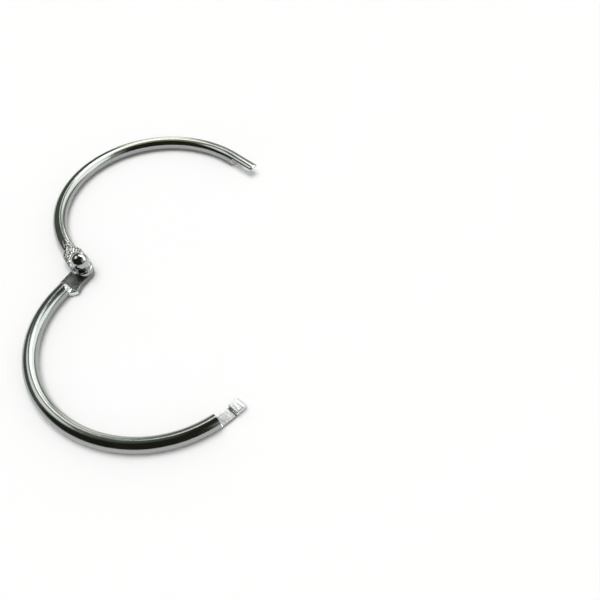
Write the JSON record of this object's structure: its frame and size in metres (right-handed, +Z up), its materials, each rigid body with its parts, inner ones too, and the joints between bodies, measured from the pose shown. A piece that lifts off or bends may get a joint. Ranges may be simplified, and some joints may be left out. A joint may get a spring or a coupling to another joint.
{
  "type": "binder ring",
  "caption": "Hinged loose-leaf ring of plated round wire, lying open: flattened ears turn on a ball-headed rivet and notched tips hook together around punched sheets.",
  "frame": {"origin": "on the rivet's axis, at the flat underside of the lower ear, flush with the rivet's tail", "axes": "+Z up along the rivet to its ball head, +X into the ring midway between the open halves, +Y toward the far half"},
  "size_m": [0.0537, 0.0998, 0.0073],
  "materials": {
    "plated_wire": "bright nickel plate over steel wire, rough where it was pressed",
    "plated_rivet": "bright nickel plate"
  },
  "bodies": {
    "near_body": {"lower_half": "plated_wire", "hinge_rivet": "plated_rivet"},
    "far_body": {"upper_half": "plated_wire"}
  },
  "joints": [
    {"name": "ring_hinge", "type": "hinge", "parent": "near_body", "child": "far_body", "pos_m": [0, 0, 0], "axis": [0, 0, 1], "range_deg": [-91, 75]}
  ]
}
